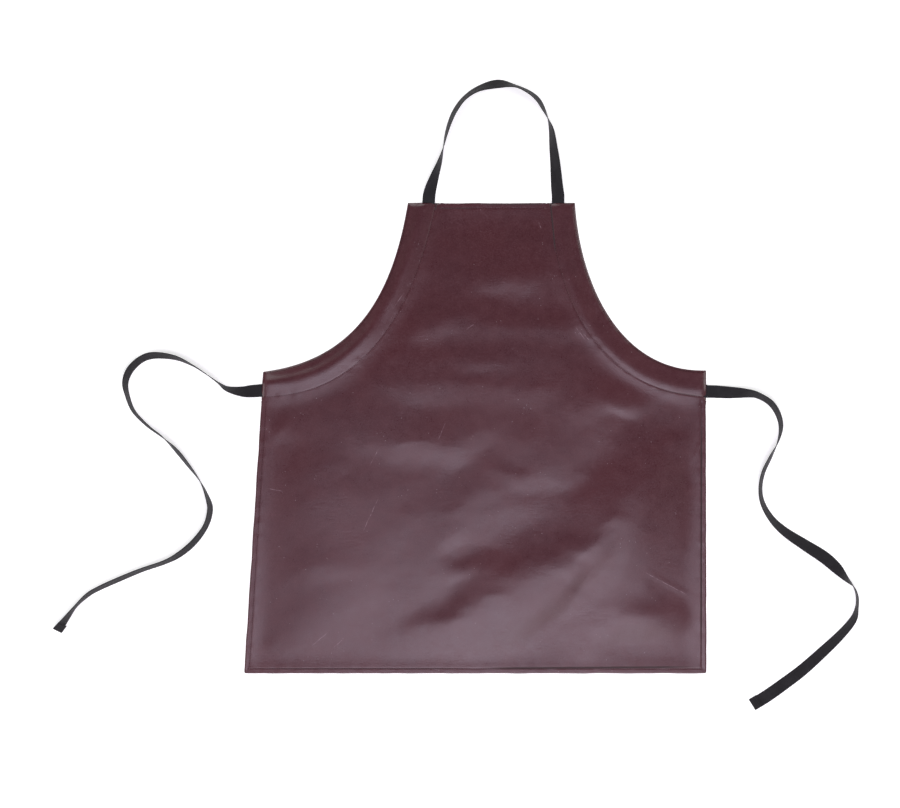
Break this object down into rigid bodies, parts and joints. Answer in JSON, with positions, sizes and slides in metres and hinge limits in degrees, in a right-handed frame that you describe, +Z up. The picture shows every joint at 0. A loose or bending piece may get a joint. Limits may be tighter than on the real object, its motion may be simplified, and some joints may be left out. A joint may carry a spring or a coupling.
{
  "type": "bib apron",
  "caption": "Bib apron of semi-gloss coated sheet lying flat, with armhole channels that carry one flat tape forming a neck loop and two long waist ties.",
  "frame": {"origin": "on the surface the apron lies on, at the middle of the box round the panel and the neck loop, ties left out", "axes": "+Z up out of the apron's front face, +Y from the hem towards the neck loop, +X to the right as seen from the front"},
  "size_m": [1.203, 0.9445, 0.019],
  "materials": {
    "panel_sheet": "smooth semi-gloss oxblood coated sheet with a fine grain and light scratches",
    "facing_sheet": "the same coated sheet, seen from its duller back",
    "tape": "matt black woven flat tape",
    "seam_thread": "twisted polyester thread, tone on tone",
    "tape_thread": "twisted black polyester thread"
  },
  "bodies": {
    "apron": {"front_panel": "panel_sheet", "left_armhole_facing": "facing_sheet", "right_armhole_facing": "facing_sheet", "left_channel_tape": "tape", "right_channel_tape": "tape", "top_hem_stitching": "seam_thread", "bottom_hem_stitching": "seam_thread", "left_side_stitching": "seam_thread", "right_side_stitching": "seam_thread", "left_armhole_edge_stitching": "seam_thread", "right_armhole_edge_stitching": "seam_thread", "left_channel_stitching": "seam_thread", "right_channel_stitching": "seam_thread"},
    "neck_loop": {"neck_loop": "tape"},
    "left_tie": {"left_tie": "tape", "left_tie_end_stitching": "tape_thread"},
    "right_tie": {"right_tie": "tape", "right_tie_end_stitching": "tape_thread"}
  },
  "joints": [
    {"name": "neck_loop_fold", "type": "hinge", "parent": "apron", "child": "neck_loop", "pos_m": [0.027, 0.26015, 0.0041], "axis": [1, 0, 0], "range_deg": [0, 150]},
    {"name": "left_tie_fold", "type": "hinge", "parent": "apron", "child": "left_tie", "pos_m": [-0.32055, -0.021, 0.0041], "axis": [0, 1, 0], "range_deg": [0, 150]},
    {"name": "right_tie_fold", "type": "hinge", "parent": "apron", "child": "right_tie", "pos_m": [0.34615, -0.0222, 0.0041], "axis": [0, -1, 0], "range_deg": [0, 150]}
  ]
}
